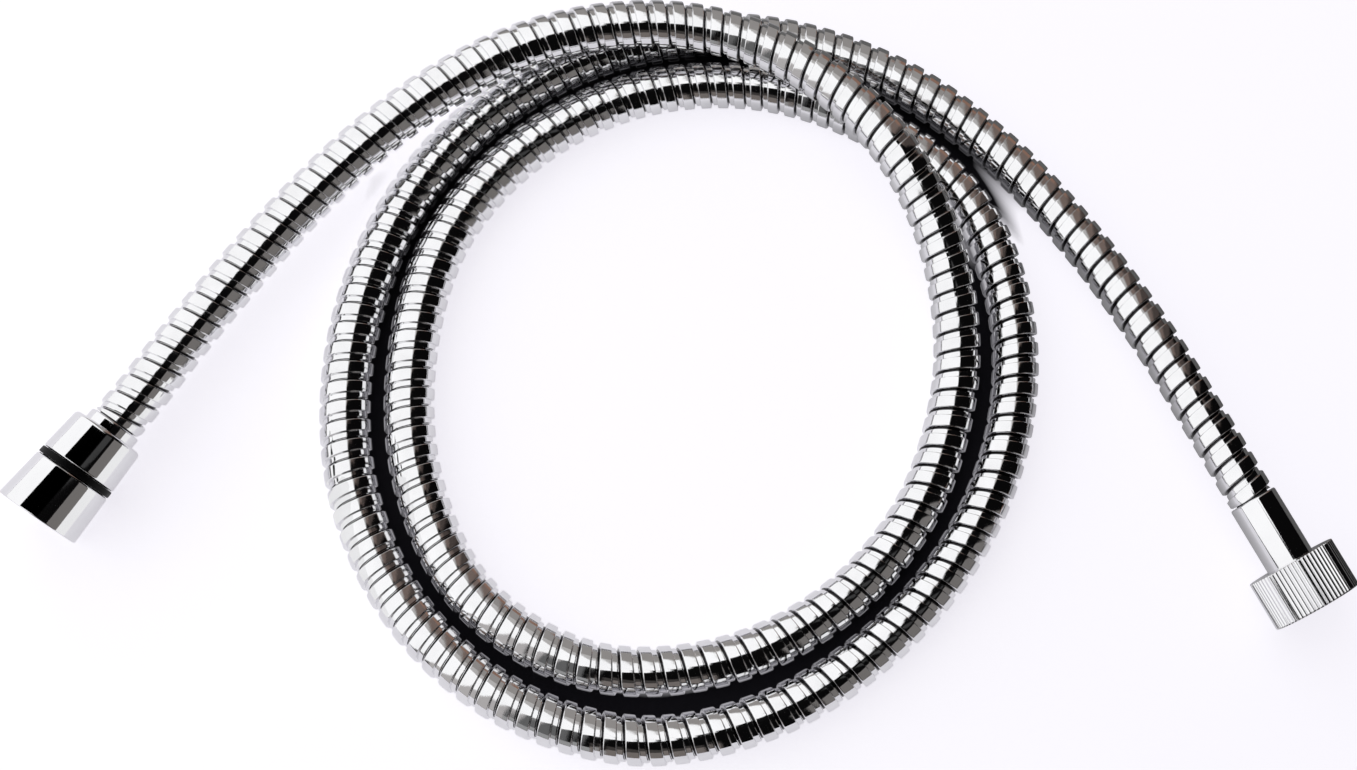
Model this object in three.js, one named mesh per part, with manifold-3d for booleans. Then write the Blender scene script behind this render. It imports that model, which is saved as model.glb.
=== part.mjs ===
// A flexible metal shower hose lying in two loose turns, with a union nut on each end.
// Millimetres, +Z up, resting on z = 0, with +X to the right of the picture.
import * as THREE from 'three';
import Module from 'manifold-3d';

const wasm = await Module();
wasm.setup();

// The hose.
const casingRadius = 7.1;
const casingBore = 6.25;
const linerRadius = 5.1;
const linerBore = 3.85;
const casingSides = 12;
const linerSides = 8;
const tubeSteps = 84;

// Clearances.
const buttGap = 0.4;
const seatGap = 0.3;
const turnGap = 0.45;

// Both ends.
const ferruleRadius = 7.3;
const ferruleBore = 5.45;
const ferruleFront = 3.4;
const stemBore = 2.4;
const stemNeck = 4.4;
const barbTop = 3.3;
const barbRoot = 2.9;
const barbPitch = 3.2;
const barbStart = 2.2;
const linerStop = 0.9;
const threadMinor = 18.63;
const flangeRadius = threadMinor / 2 - seatGap;
const flangeThick = 2;
const washerThick = 2;
const washerHole = 5.6;
const roundSegments = 40;

// The knurled nut at the tap end.
const tapShown = 21.5;
const tapNutLength = 15.2;
const tapNutRadius = 13.6;
const tapNutWall = 2.2;
const fluteCount = 64;
const fluteDepth = 0.4;
const fluteLand = 0.5;

// The conical nut at the handset end, with its black ring.
const setShown = 3.3;
const setNutLength = 29;
const setNutRear = 10;
const setNutFront = 11.7;
const setNutWall = 15.2;
const ringPlace = 0.465;
const ringWidth = 2.2;
const ringDepth = 1.3;
const ringGap = 0.15;
const shoulderRound = 1;
const rimRound = 1.2;

// The line of the hose from the handset end to the tap end, as it lies.
const route = [
  [-160.3, -16.4, 11.7], [-155, -9.1, 11.7], [-143.1, 8.2, 12.3], [-128.1, 28.1, 13.8],
  [-112.1, 47.2, 15.8], [-94.6, 64.9, 18], [-75.1, 80.4, 20], [-53.4, 92.6, 21.4],
  [-29.5, 99.8, 21.8], [-4.6, 101, 21.8], [19.5, 94.9, 21.8], [40.6, 81.6, 21.8],
  [57.2, 63, 21.1], [68.6, 41.4, 16.3], [74.1, 17.7, 11], [73.4, -7, 7.6],
  [61.1, -41.6, 7.1], [36.6, -69, 7.1], [3.3, -84.6, 7.1], [-33.2, -84.7, 7.1],
  [-64.2, -65.2, 7.1], [-80.2, -32.3, 7.1], [-82.5, 4.4, 7.1], [-73.2, 40, 7.1],
  [-49.9, 68.4, 7.1], [-17.4, 85.6, 7.1], [19.2, 88.4, 7.1], [53.9, 76.2, 7.1],
  [80.9, 51.4, 7.1], [92.1, 16.5, 7.1], [89, -20.2, 7.1], [73.6, -53.7, 7.1],
  [48.6, -80.8, 7.1], [16.9, -99.5, 7.1], [-19.3, -105.7, 7.1], [-54.2, -94.5, 7.1],
  [-81.5, -69.9, 7.1], [-97.3, -36.7, 7.1], [-100.2, 0, 7.1], [-91.7, 35.9, 7.1],
  [-72.8, 67.5, 7.1], [-44.4, 90.9, 7.1], [-9.9, 103.8, 7.1], [26.9, 103.5, 7.1],
  [61.6, 91.2, 7.1], [91, 68.9, 7.1], [114.8, 40.7, 8], [134.2, 9.3, 11.1],
  [147.1, -15.6, 12.9], [155.7, -32.6, 13.6], [159.9, -40.5, 13.6],
].map(([x, y, z]) => new THREE.Vector3(x, y, z));

const chrome = new THREE.MeshStandardMaterial({ color: 0xd8dcdf, roughness: 0.12, metalness: 1 });
const brass = new THREE.MeshStandardMaterial({ color: 0xb9974f, roughness: 0.35, metalness: 1 });
const rubber = new THREE.MeshStandardMaterial({ color: 0x161616, roughness: 0.8, metalness: 0 });
const liner = new THREE.MeshStandardMaterial({ color: 0x4a4d50, roughness: 0.75, metalness: 0 });
const black = new THREE.MeshStandardMaterial({ color: 0x0b0b0c, roughness: 0.45, metalness: 0 });

const root = new THREE.Group();

function add(name, geometry, material) {
  const mesh = new THREE.Mesh(geometry, material);
  mesh.name = name;
  root.add(mesh);
}

function polygon(radius, sides) {
  const points = [];
  for (let i = 0; i < sides; i += 1) {
    const angle = ((i + 0.5) / sides) * Math.PI * 2;
    points.push(new THREE.Vector2(Math.cos(angle) * radius, Math.sin(angle) * radius));
  }
  return points;
}

function tube(points, outer, bore, sides) {
  const section = new THREE.Shape(polygon(outer, sides));
  section.holes.push(new THREE.Path(polygon(bore, sides)));
  return new THREE.ExtrudeGeometry(section, {
    steps: tubeSteps,
    bevelEnabled: false,
    extrudePath: new THREE.CatmullRomCurve3(points),
  });
}

// A closed outline of [distance along the axis, radius] pairs, turned about the axis +Y.
function turned(outline) {
  const points = [...outline, outline[0]].map(([along, radius]) => new THREE.Vector2(radius, along));
  return new THREE.LatheGeometry(points.reverse(), roundSegments);
}

function arc(along, radius, size, from, to, pieces = 4) {
  const points = [];
  for (let i = 0; i <= pieces; i += 1) {
    const angle = THREE.MathUtils.degToRad(from + ((to - from) * i) / pieces);
    points.push([along + Math.cos(angle) * size, radius + Math.sin(angle) * size]);
  }
  return points;
}

function solid(geometry) {
  const position = geometry.getAttribute('position');
  const index = geometry.getIndex();
  const count = index ? index.count : position.count;
  const seen = new Map();
  const vertices = [];
  const triangles = [];
  for (let i = 0; i < count; i += 1) {
    const k = index ? index.getX(i) : i;
    const point = [position.getX(k), position.getY(k), position.getZ(k)];
    const key = point.map((value) => Math.round(value * 1e4)).join(' ');
    if (!seen.has(key)) {
      seen.set(key, vertices.length / 3);
      vertices.push(...point);
    }
    triangles.push(seen.get(key));
  }
  const kept = [];
  for (let i = 0; i < triangles.length; i += 3) {
    const [a, b, c] = triangles.slice(i, i + 3);
    if (a !== b && b !== c && c !== a) kept.push(a, b, c);
  }
  return new wasm.Manifold(new wasm.Mesh({
    numProp: 3,
    vertProperties: new Float32Array(vertices),
    triVerts: new Uint32Array(kept),
  }));
}

function surface(body) {
  const mesh = body.getMesh();
  const geometry = new THREE.BufferGeometry();
  geometry.setAttribute('position', new THREE.BufferAttribute(new Float32Array(mesh.vertProperties), 3));
  geometry.setIndex(new THREE.BufferAttribute(new Uint32Array(mesh.triVerts), 1));
  const plain = geometry.toNonIndexed();
  plain.computeVertexNormals();
  return plain;
}

// One end of the hose: where the casing stops and which way it points outwards.
function hoseEnd(tip, before) {
  const axis = tip.clone().sub(before).normalize();
  const turn = new THREE.Quaternion().setFromUnitVectors(new THREE.Vector3(0, 1, 0), axis);
  return {
    axis,
    place: (geometry) => geometry.applyQuaternion(turn).translate(tip.x, tip.y, tip.z),
    beyond: (distance) => tip.clone().addScaledVector(axis, distance),
  };
}

// The pieces that both ends have: crimped ferrule, barbed stem with its flange, sealing washer.
function coupling(prefix, end, shoulder) {
  const flangeRear = shoulder + seatGap;
  const flangeFace = flangeRear + flangeThick;
  const washerRear = flangeFace + seatGap;
  const ferruleEnd = shoulder - seatGap;
  const step = ferruleEnd - ferruleFront;
  add(`${prefix}_ferrule`, end.place(turned([
    [buttGap, ferruleBore], [step, ferruleBore], [step, stemNeck + seatGap],
    [ferruleEnd, stemNeck + seatGap], [ferruleEnd, ferruleRadius - 0.3],
    [ferruleEnd - 0.3, ferruleRadius], [buttGap + 0.5, ferruleRadius], [buttGap, ferruleRadius - 0.5],
  ])), chrome);
  const outline = [[barbStart, stemBore], [flangeFace, stemBore], [flangeFace, flangeRadius],
    [flangeRear, flangeRadius], [flangeRear, stemNeck], [step + 0.5, stemNeck], [step + 0.5, barbRoot]];
  const barbs = Math.floor((step - linerStop - barbStart) / barbPitch);
  for (let i = barbs; i > 0; i -= 1) {
    outline.push([barbStart + i * barbPitch, barbRoot], [barbStart + i * barbPitch, barbTop]);
  }
  outline.push([barbStart, barbRoot]);
  add(`${prefix}_stem`, end.place(turned(outline)), brass);
  add(`${prefix}_washer`, end.place(turned([
    [washerRear, washerHole], [washerRear + washerThick, washerHole],
    [washerRear + washerThick, flangeRadius], [washerRear, flangeRadius],
  ])), rubber);
  return step - linerStop;
}

const tapEnd = hoseEnd(route.at(-1), route.at(-2));
const setEnd = hoseEnd(route[0], route[1]);

// Tap end: a nut with straight flutes over its whole length, loose behind the flange.
const tapShoulder = tapShown + tapNutWall;
const tapLiner = coupling('tap', tapEnd, tapShoulder);
const star = [];
for (let i = 0; i < fluteCount; i += 1) {
  for (const [part, radius] of [
    [0, tapNutRadius], [fluteLand, tapNutRadius], [(1 + fluteLand) / 2, tapNutRadius - fluteDepth],
  ]) {
    const angle = ((i + part) / fluteCount) * Math.PI * 2;
    star.push(new THREE.Vector2(Math.cos(angle) * radius, Math.sin(angle) * radius));
  }
}
const blank = new THREE.ExtrudeGeometry(new THREE.Shape(star), { depth: tapNutLength, bevelEnabled: false });
blank.rotateX(-Math.PI / 2).translate(0, tapShown, 0);
const sleeveHole = ferruleRadius + turnGap;
const threadLead = 1;
const cavity = (rear, shoulder, front) => turned([
  [front + 0.5, 0], [front + 0.5, threadMinor / 2 + threadLead + 0.5],
  [front - threadLead, threadMinor / 2], [shoulder, threadMinor / 2], [shoulder, sleeveHole],
  [rear - 1, sleeveHole], [rear - 1, 0],
]);
const tapNut = solid(blank).subtract(solid(cavity(tapShown, tapShoulder, tapShown + tapNutLength)));
add('tap_nut', tapEnd.place(surface(tapNut)), chrome);

// Handset end: a conical nut whose long rear sleeve hides the ferrule, with a ring in its groove.
const setShoulder = setShown + setNutWall;
const setLiner = coupling('handset', setEnd, setShoulder);
const setFront = setShown + setNutLength;
const coneRadius = (along) => setNutRear + ((along - setShown) / setNutLength) * (setNutFront - setNutRear);
const ringFrom = setShown + setNutLength * ringPlace - ringWidth / 2;
const ringTo = ringFrom + ringWidth;
const grooveRadius = coneRadius(ringFrom) - ringDepth;
add('handset_nut', setEnd.place(turned([
  [setShown, sleeveHole], [setShoulder, sleeveHole], [setShoulder, threadMinor / 2],
  [setFront - threadLead, threadMinor / 2], [setFront, threadMinor / 2 + threadLead],
  [setFront, coneRadius(setFront) - 0.5], [setFront - 0.5, coneRadius(setFront)],
  ...arc(ringTo + shoulderRound, coneRadius(ringTo) - shoulderRound, shoulderRound, 90, 180),
  [ringTo, grooveRadius], [ringFrom, grooveRadius],
  ...arc(ringFrom - shoulderRound, coneRadius(ringFrom) - shoulderRound, shoulderRound, 0, 90),
  ...arc(setShown + rimRound, coneRadius(setShown) - rimRound, rimRound, 90, 180),
])), chrome);
add('handset_ring', setEnd.place(turned([
  [ringFrom + ringGap, grooveRadius + seatGap], [ringTo - ringGap, grooveRadius + seatGap],
  [ringTo - ringGap, coneRadius(ringTo) - 0.2], [ringTo - ringGap - 0.3, coneRadius(ringTo) + 0.1],
  [ringFrom + ringGap + 0.3, coneRadius(ringFrom) + 0.1], [ringFrom + ringGap, coneRadius(ringFrom) - 0.2],
])), black);

// The spiral casing, and the rubber tube inside it that runs on over the barbs of both stems.
const linerRoute = [setEnd.beyond(setLiner), ...route, tapEnd.beyond(tapLiner)];
add('metal_hose', tube(route, casingRadius, casingBore, casingSides), chrome);
add('inner_hose', tube(linerRoute, linerRadius, linerBore, linerSides), liner);

export default root;
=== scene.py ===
"""Shower hose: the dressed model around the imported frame.

The spiral casing, its rubber tube, both union nuts and what sits in them are surfaces worked out with
numpy on the frame's own axes. Each end's pieces are turned on the line that leaves its tip. The outlines
of the fittings are in millimetres, and MM brings them to metres.
"""
import math

import bpy
import numpy as np
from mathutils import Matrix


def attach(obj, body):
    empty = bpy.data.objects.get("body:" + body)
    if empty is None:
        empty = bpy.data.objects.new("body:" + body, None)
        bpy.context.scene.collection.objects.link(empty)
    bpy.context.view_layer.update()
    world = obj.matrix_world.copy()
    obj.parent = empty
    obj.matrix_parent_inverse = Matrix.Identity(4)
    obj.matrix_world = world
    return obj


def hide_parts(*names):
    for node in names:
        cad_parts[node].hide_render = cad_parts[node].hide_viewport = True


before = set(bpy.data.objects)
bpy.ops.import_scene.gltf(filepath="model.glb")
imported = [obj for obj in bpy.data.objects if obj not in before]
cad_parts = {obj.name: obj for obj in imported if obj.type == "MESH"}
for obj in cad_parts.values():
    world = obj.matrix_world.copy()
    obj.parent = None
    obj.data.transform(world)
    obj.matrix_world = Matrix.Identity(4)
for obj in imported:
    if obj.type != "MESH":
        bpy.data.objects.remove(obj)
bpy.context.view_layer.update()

bl_info = {
    "name": "Shower hose",
    "version": (1, 0, 0),
    "blender": (4, 2, 0),
    "location": "3D View > Sidebar > Shower hose",
    "description": "Builds a spiral metal shower hose with its two union nuts on a pale studio floor",
    "category": "Object",
}

MM = 0.001
TURN = 2 * math.pi

# The line of the hose from the handset end to the tap end, in metres.
ROUTE = MM * np.array([
    (-160.3, -16.4, 11.7), (-155, -9.1, 11.7), (-143.1, 8.2, 12.3), (-128.1, 28.1, 13.8),
    (-112.1, 47.2, 15.8), (-94.6, 64.9, 18), (-75.1, 80.4, 20), (-53.4, 92.6, 21.4),
    (-29.5, 99.8, 21.8), (-4.6, 101, 21.8), (19.5, 94.9, 21.8), (40.6, 81.6, 21.8),
    (57.2, 63, 21.1), (68.6, 41.4, 16.3), (74.1, 17.7, 11), (73.4, -7, 7.6),
    (61.1, -41.6, 7.1), (36.6, -69, 7.1), (3.3, -84.6, 7.1), (-33.2, -84.7, 7.1),
    (-64.2, -65.2, 7.1), (-80.2, -32.3, 7.1), (-82.5, 4.4, 7.1), (-73.2, 40, 7.1),
    (-49.9, 68.4, 7.1), (-17.4, 85.6, 7.1), (19.2, 88.4, 7.1), (53.9, 76.2, 7.1),
    (80.9, 51.4, 7.1), (92.1, 16.5, 7.1), (89, -20.2, 7.1), (73.6, -53.7, 7.1),
    (48.6, -80.8, 7.1), (16.9, -99.5, 7.1), (-19.3, -105.7, 7.1), (-54.2, -94.5, 7.1),
    (-81.5, -69.9, 7.1), (-97.3, -36.7, 7.1), (-100.2, 0, 7.1), (-91.7, 35.9, 7.1),
    (-72.8, 67.5, 7.1), (-44.4, 90.9, 7.1), (-9.9, 103.8, 7.1), (26.9, 103.5, 7.1),
    (61.6, 91.2, 7.1), (91, 68.9, 7.1), (114.8, 40.7, 8), (134.2, 9.3, 11.1),
    (147.1, -15.6, 12.9), (155.7, -32.6, 13.6), (159.9, -40.5, 13.6),
])
HOSE_DIAMETER = 0.014
RINGS_ALONG = 321

# Length of one winding along the hose: (share of the hose's length, millimetres).
WINDINGS = np.array([
    (0.00, 5.72), (0.06, 5.72), (0.10, 5.55), (0.14, 5.44), (0.17, 5.72), (0.20, 6.05), (0.26, 6.11),
    (0.30, 5.95), (0.34, 5.66), (0.37, 5.72), (0.40, 5.5), (0.44, 5.36), (0.47, 5.4), (0.51, 5.66),
    (0.55, 5.95), (0.59, 6.15), (0.63, 6.05), (0.68, 5.88), (0.74, 5.73), (0.78, 5.6), (0.82, 5.4),
    (0.85, 5.4), (0.88, 5.6), (0.91, 5.8), (0.94, 6.2), (0.97, 6.5), (1.00, 6.5),
])

# One winding in profile: (share of the winding, radius in mm, lean of the surface before and after, degrees).
# The lean is from straight outwards towards the tap end. It goes groove, lower lip, raised lip.
PROFILE = [
    (0.000, 6.10, 84, 84), (0.012, 5.42, 60, 0), (0.122, 5.40, 0, -70), (0.138, 6.00, -50, -10),
    (0.170, 6.09, -2, 0), (0.365, 6.09, 0, 2), (0.380, 6.00, 30, -84), (0.394, 6.74, -80, -76),
    (0.408, 6.93, -40, -30), (0.438, 7.00, -3, -2), (0.700, 7.02, 0, 0), (0.940, 7.00, 1.5, 3),
    (0.976, 6.90, 32, 40), (0.994, 6.62, 76, 82),
]
# The groove's painted shade is full up to the first share of the winding and gone at the second.
GROOVE_SHADE = (0.094, 0.112)
# How far the strip moves along for each step round it: a mean winding over the raised lip's circumference.
STRIP_LEAD = 5.8 / (TURN * 7.0)
# The bore and the end faces have one place on the strip's map, in the groove, where they take its painted
# shade.
BORE_ON_STRIP = (0.0, 0.05)
# At its ends the casing runs to one radius over a short way, in metres.
CASING_END_RADIUS = 6.35 * MM
CASING_END_WAY = 0.5 * MM

# The fittings, in millimetres: places are counted outwards from the casing's tip. The shoulder is where the
# nut's narrow neck ends and its threaded bore begins.
TAP_NUT_REAR, TAP_SHOULDER, TAP_NUT_FRONT = 21.5, 23.7, 36.7
TAP_NUT_MOUTH = 10.35
SET_NUT_REAR, SET_SHOULDER, SET_NUT_FRONT = 3.3, 18.5, 32.3
SET_NUT_MOUTH = 10.3
NUT_NECK = 7.75
CONE_REAR, CONE_FRONT = 10.0, 11.7
RING_GROOVE_FROM, RING_GROOVE_TO, RING_GROOVE_DEPTH = 15.685, 17.885, 1.3
# The black ring: its room on each side, its depth, the place where it is level with the cone, how far it
# stands proud there, and how much lower its rear edge is.
RING_SIDE_GAP, RING_DEPTH, RING_TOP_AT, RING_PROUD, RING_FALL = 0.15, 1.0, 17, 0.02, 0.08
SEAT_GAP = 0.3
PLATE = 2.0
FLANGE_RADIUS = 9.015
WASHER_HOLE = 5.6
SLEEVE_START, SLEEVE_BORE, SLEEVE_RADIUS = 0.4, 5.45, 7.3
SLEEVE_FLOOR, SLEEVE_HOLE = 3.4, 4.7
STEM_START, STEM_BORE, STEM_NECK, STEM_NECK_GAP = 2.2, 2.4, 4.4, 0.5
BARB_ROOT, BARB_TOP, BARB_PITCH, BARB_STOP = 2.9, 3.3, 3.2, 0.9
# How far the rubber tube goes past the casing's tip at each end, in metres.
TUBE_PAST_HANDSET, TUBE_PAST_TAP = 0.0139, 0.0191

# Each flute of the knurled nut: shares of its step round the nut, and the depth there as a share of its own.
FLUTE_STEPS = np.array([0.0, 0.03, 0.41, 0.44, 0.70, 0.74])
FLUTE_DEPTHS = np.array([0.06, 0.0, 0.0, 0.06, 1.0, 1.0])
# The flutes fade in over this much radius, from this far under the nut's own radius.
FLUTE_FADE_FROM, FLUTE_FADE = 0.75, 0.4

# The thread in both nuts: how far it keeps from the shoulder and the mouth, and how it runs in and out.
THREAD_FROM_SHOULDER, THREAD_FROM_MOUTH = 3.2, 0.9
THREAD_RUN_IN, THREAD_RUN_OUT, THREAD_LEFT_AT_MOUTH = 0.9, 0.25, 0.4
THREAD_FULLNESS = 0.85
# Where the close points of the threaded bore start and stop, and how far the shoulder's corner stands off.
BORE_FROM_SHOULDER, BORE_FROM_MOUTH, SHOULDER_OFF = 0.02, 1.0, 0.001

# The camera, fitted to the view: millimetres, metres and degrees.
CAMERA_LENS = 48.9272
CAMERA_SENSOR = 36.0
CAMERA_SHIFT = (-0.14849, 0.02579)
CAMERA_CLIP = (0.01, 50)
CAMERA_PLACE = (-0.0262298, -0.1392326, 0.5261086)
CAMERA_TURN = (13.6146, -7.9934, -2.0720)

# The floor's grid, in metres: half its fine part each way, the step there, and the lines away from it.
FLOOR_FINE_HALVES = (0.24, 0.16)
FLOOR_FINE_STEP = 0.0015
FLOOR_WIDE_LINES = np.array([0.26, 0.30, 0.4, 0.6, 1.0, 1.6, 2.6, 4.0])
# The shade on the floor: the length of the bits of hose that it is added up from, how far a bit reaches and
# over what length its shade fades out there.
SHADE_BIT = 0.002
SHADE_REACH = 0.026
SHADE_FADE = 0.008
# The places are worked out in so many parts, and an arrow's direction is left at this level distance.
SHADE_PARTS = 64
SHADE_LEAST = 0.000001
# The floor's colour and the camera's lift are painted dark, as shade, where little open sky is left, and full
# where enough is. The second pair puts the same painted shade into the lift that mirrors show.
OPEN_SKY_SEEN = (0.40, 0.60)
OPEN_SKY_MIRRORED = (0.15, 0.45)
# The floor is painted paler to the south-west of a line, in its colour and in what metal mirrors of it: the
# direction across it, and where the change starts and ends. On the far side its colour is painted darker, as
# shade, and the camera's share of brightness is more.
PALE_SIDE = (-0.77, -0.64, 0.0)
PALE_SIDE_EDGE = (-0.12, -0.03)
FAR_SIDE_PAINTED_SHADE = 0.5
FAR_SIDE_MORE = 0.13
FLOOR_IN_SHADE = (0.01, 0.009, 0.013)
# The glow is tinted lilac, so that the painted shade, where part of the glow is taken off, looks lilac.
FLOOR_GLOW = (0.95, 0.93, 1.0, 1.0)

# The light tent. Each sheet's edges are rows of compass angle, counted from +X towards +Y, with the angles
# from straight up where the sheet starts and ends there, in degrees.
SOFTBOX_EDGES = [
    (-62, 0.4, 4), (-30, 0.4, 8), (0, 0.4, 10), (60, 0.4, 12), (80, 0.4, 20), (90, 0.4, 40), (100, 0.4, 56),
    (110, 0.4, 73), (120, 0.4, 89), (214, 0.4, 89), (222, 0.4, 62), (230, 0.4, 25), (250, 0.4, 16),
    (280, 0.4, 13), (298, 0.4, 4),
]
SOFTBOX_RADIUS = 1.40
# The other sheets: name, edges, radius in metres, brightness and colour.
TENT_SHEETS = [
    ("north_sheet", [(57, 10, 89), (124, 10, 89)], 1.46, 0.31, (1, 0.95, 0.91)),
    ("north_top", [(60, 8, 36), (88, 8, 36)], 1.44, 0.50, (1, 0.97, 0.95)),
    ("warm_sheet", [(45, 26, 89), (57, 18, 89)], 1.44, 0.18, (1.0, 0.76, 0.66)),
    ("warm_foot", [(46, 70, 89), (66, 70, 89)], 1.42, 0.26, (1.0, 0.60, 0.45)),
    ("north_east_sheet", [(36, 30, 89), (45, 24, 89)], 1.44, 0.07, (1.0, 0.80, 0.72)),
    ("south_west_sheet", [(218, 18, 89), (236, 18, 89)], 1.46, 0.48, (1, 0.96, 0.95)),
    ("south_west_edge", [(236, 18, 70), (250, 18, 70)], 1.44, 0.13, (1, 1, 1)),
    ("south_west_foot", [(236, 69, 89), (262, 69, 89)], 1.46, 0.32, (1, 1, 1)),
    ("south_sheet", [(256, 62, 89), (284, 62, 89)], 1.44, 0.18, (1, 0.88, 0.82)),
    ("south_shade", [(256, 46, 62), (284, 52, 62)], 1.46, 0.05, (1, 0.9, 0.85)),
    ("south_east_sheet", [(304, 50, 89), (312, 46, 89), (324, 43, 89), (346, 42, 89)], 1.44, 0.18,
     (1, 0.94, 0.90)),
    ("south_east_edge", [(330, 16, 34), (346, 16, 34)], 1.46, 0.05, (1, 1, 1)),
]
# The rows of points in each sheet from its start to its end, and the compass angle of each step along it.
TENT_ROWS = 8
TENT_STEP = 4
# The two cards by the conical nut: name, corners in metres and brightness.
NUT_CARDS = [
    ("nut_flag", [(-0.1738, -0.0066, 0.045), (-0.1950, -0.0357, 0.045), (-0.1730, -0.0517, 0.045),
                  (-0.1518, -0.0226, 0.045)], 0),
    ("nut_card", [(-0.152, -0.104, 0.0), (-0.100, -0.032, 0.0), (-0.100, -0.032, 0.030),
                  (-0.152, -0.104, 0.030)], 0.95),
]
ROOM_COLOUR = (0.05, 0.048, 0.05, 1)
ROOM_STRENGTH = 0.06


# The line of the hose.

def curve_through(knots, steps=40):
    """Centripetal Catmull-Rom curve: between two knots the point is blended three times over, with the
    square roots of the knots' distances as the times at which the curve passes them."""
    p = np.vstack([2 * knots[0] - knots[1], knots, 2 * knots[-1] - knots[-2]])
    gap = np.sqrt(np.linalg.norm(np.diff(p, axis=0), axis=1))
    t1 = gap[:-2, None, None]
    t2 = t1 + gap[1:-1, None, None]
    t3 = t2 + gap[2:, None, None]
    t = t1 + (t2 - t1) * np.linspace(0, 1, steps, endpoint=False)[None, :, None]
    p0, p1, p2, p3 = (p[k:len(p) - 3 + k, None, :] for k in range(4))
    a1 = (t1 - t) / t1 * p0 + t / t1 * p1
    a2 = (t2 - t) / (t2 - t1) * p1 + (t - t1) / (t2 - t1) * p2
    a3 = (t3 - t) / (t3 - t2) * p2 + (t - t2) / (t3 - t2) * p3
    b1 = (t2 - t) / t2 * a1 + t / t2 * a2
    b2 = (t3 - t) / (t3 - t1) * a2 + (t - t1) / (t3 - t1) * a3
    line = ((t2 - t) / (t2 - t1) * b1 + (t - t1) / (t2 - t1) * b2).reshape(-1, 3)
    return np.vstack([line, knots[-1:]])


def unit(vectors):
    """The same directions with a length of one."""
    return vectors / np.linalg.norm(vectors, axis=-1, keepdims=True)


class Line:
    """A curve that gives its point and its directions at any distance along it."""
    places = 6001

    def __init__(self, knots):
        points = curve_through(knots)
        along = np.concatenate([[0], np.cumsum(np.linalg.norm(np.diff(points, axis=0), axis=1))])
        self.length = along[-1]
        self.at = np.linspace(0, self.length, self.places)
        self.points = np.stack([np.interp(self.at, along, points[:, k]) for k in range(3)], 1)
        self.tangents = unit(np.gradient(self.points, self.at, axis=0))

    def frames(self, s):
        """Point, forward direction, level side direction and the one square to both, at each distance."""
        point = np.stack([np.interp(s, self.at, self.points[:, k]) for k in range(3)], -1)
        forward = unit(np.stack([np.interp(s, self.at, self.tangents[:, k]) for k in range(3)], -1))
        side = unit(np.cross([0.0, 0.0, 1.0], forward))
        return point, forward, side, np.cross(forward, side)

    def around(self, s, angle):
        """Point and forward direction, with the outward direction at the angle, cos(angle) of the side plus
        sin(angle) of the one square to it, and the direction in which that one turns."""
        point, forward, side, up = self.frames(s)
        cos, sin = np.cos(angle)[..., None], np.sin(angle)[..., None]
        return point, forward, cos * side + sin * up, cos * up - sin * side


class End:
    """One end of the hose: its tip, and the direction in which it points away from the casing."""

    def __init__(self, tip, before):
        self.tip = tip
        self.axis = unit(tip - before)
        self.side = unit(np.cross([0.0, 0.0, 1.0], self.axis))
        self.up = np.cross(self.axis, self.side)

    def place(self, along, radius, angle):
        """Cylinder coordinates round the end's axis, in millimetres and radians, to points in metres."""
        out = np.cos(angle)[..., None] * self.side + np.sin(angle)[..., None] * self.up
        return self.tip + MM * (along[..., None] * self.axis + radius[..., None] * out)


HOSE_LINE = Line(ROUTE)
TAP_END = End(ROUTE[-1], ROUTE[-2])
HANDSET_END = End(ROUTE[0], ROUTE[1])
# What stands on the floor past the casing's tips: end, where it starts and stops, and its radius, in mm.
END_BODIES = ((HANDSET_END, 3, 34, 11.7), (TAP_END, 0, 20, 7.3), (TAP_END, 20, 37, 13.6))


# Meshes.

def new_piece(name, points, faces, material):
    """An object at the origin whose mesh has these points and faces, with smooth shading."""
    mesh = bpy.data.meshes.new(name)
    mesh.from_pydata(points.reshape(-1, 3).tolist(), [], faces)
    mesh.polygons.foreach_set("use_smooth", np.ones(len(mesh.polygons), bool))
    mesh.materials.append(material)
    mesh.validate()
    piece = bpy.data.objects.new(name, mesh)
    bpy.context.scene.collection.objects.link(piece)
    return piece


def grid_quads(rows, columns, closed_rows=True, closed_columns=True):
    """Quads of a grid of points in row order, wrapped round in either direction."""
    i, j = np.meshgrid(np.arange(rows if closed_rows else rows - 1),
                       np.arange(columns if closed_columns else columns - 1), indexing="ij")
    i1, j1 = (i + 1) % rows, (j + 1) % columns
    quads = np.stack([i * columns + j, i * columns + j1, i1 * columns + j1, i1 * columns + j], -1)
    return quads.reshape(-1, 4)


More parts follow.
